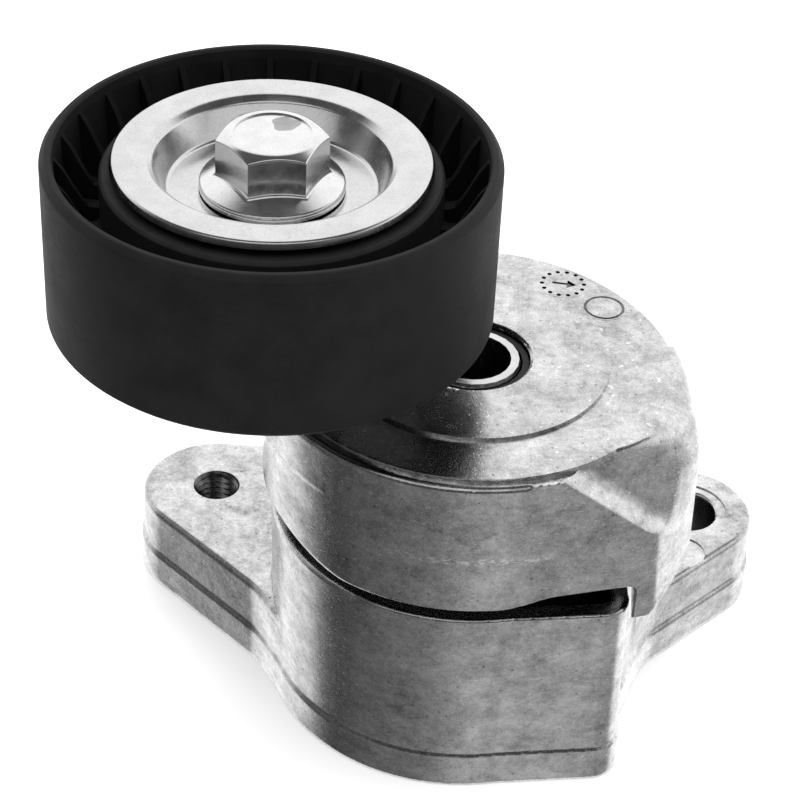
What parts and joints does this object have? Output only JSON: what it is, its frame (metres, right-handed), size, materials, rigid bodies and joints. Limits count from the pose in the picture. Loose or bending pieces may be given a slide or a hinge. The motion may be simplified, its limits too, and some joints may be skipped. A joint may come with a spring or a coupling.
{
  "type": "belt tensioner",
  "caption": "Spring-loaded engine belt tensioner: a die-cast arm on a two-eared die-cast base, carrying a smooth black plastic idler pulley on a flanged bolt.",
  "frame": {"origin": "where the arm's pivot axis meets the flat face that bolts to the engine", "axes": "+Z along the pivot axis from the engine face towards the pulley, +Y towards the two mounting ears, +X towards the stop tang and away from the pulley"},
  "size_m": [0.1212, 0.0777, 0.1067],
  "materials": {
    "cast_aluminium": "die-cast, as cast, mottled grey",
    "black_plastic": "moulded glass-filled nylon, satin black",
    "zinc_plated_steel": "zinc plated, bright",
    "bright_steel": "ground bearing steel",
    "spring_steel": "dark oil-tempered wire",
    "dark_polymer": "dull dark nylon",
    "seal_rubber": "matte black"
  },
  "bodies": {
    "base": {"base_housing": "cast_aluminium", "pivot_tube": "zinc_plated_steel", "thrust_washer": "dark_polymer", "damping_ring": "dark_polymer", "damping_band": "spring_steel", "spring_seat": "dark_polymer", "torsion_spring": "spring_steel"},
    "arm": {"arm_casting": "cast_aluminium", "pivot_bush_upper": "dark_polymer", "pivot_bush_lower": "dark_polymer", "bearing_inner_ring": "bright_steel", "bearing_sleeve": "bright_steel", "rear_dust_shield": "zinc_plated_steel", "front_dust_shield": "zinc_plated_steel", "pulley_bolt": "zinc_plated_steel"},
    "pulley": {"pulley_body": "black_plastic", "bearing_outer_ring": "bright_steel", "bearing_seal_front": "seal_rubber", "bearing_seal_rear": "seal_rubber"},
    "cage": {"bearing_cage": "dark_polymer", "bearing_ball_1": "bright_steel", "bearing_ball_2": "bright_steel", "bearing_ball_3": "bright_steel", "bearing_ball_4": "bright_steel", "bearing_ball_5": "bright_steel", "bearing_ball_6": "bright_steel", "bearing_ball_7": "bright_steel", "bearing_ball_8": "bright_steel"}
  },
  "joints": [
    {"name": "arm_pivot", "type": "hinge", "parent": "base", "child": "arm", "pos_m": [0, 0, 0.044], "axis": [0, 0, 1], "range_deg": [0, 32], "stiffness_Nm_per_rad": 6, "springref_deg": -40.11},
    {"name": "pulley_spin", "type": "hinge", "parent": "arm", "child": "pulley", "pos_m": [-0.0322, -0.004, 0.0901], "axis": [0, 0, 1], "continuous": true},
    {"name": "cage_spin", "type": "hinge", "parent": "arm", "child": "cage", "pos_m": [-0.0322, -0.004, 0.0901], "axis": [0, 0, 1], "continuous": true}
  ],
  "couplings": [
    {"joint": "cage_spin", "follows": "pulley_spin", "ratio": 0.609}
  ]
}
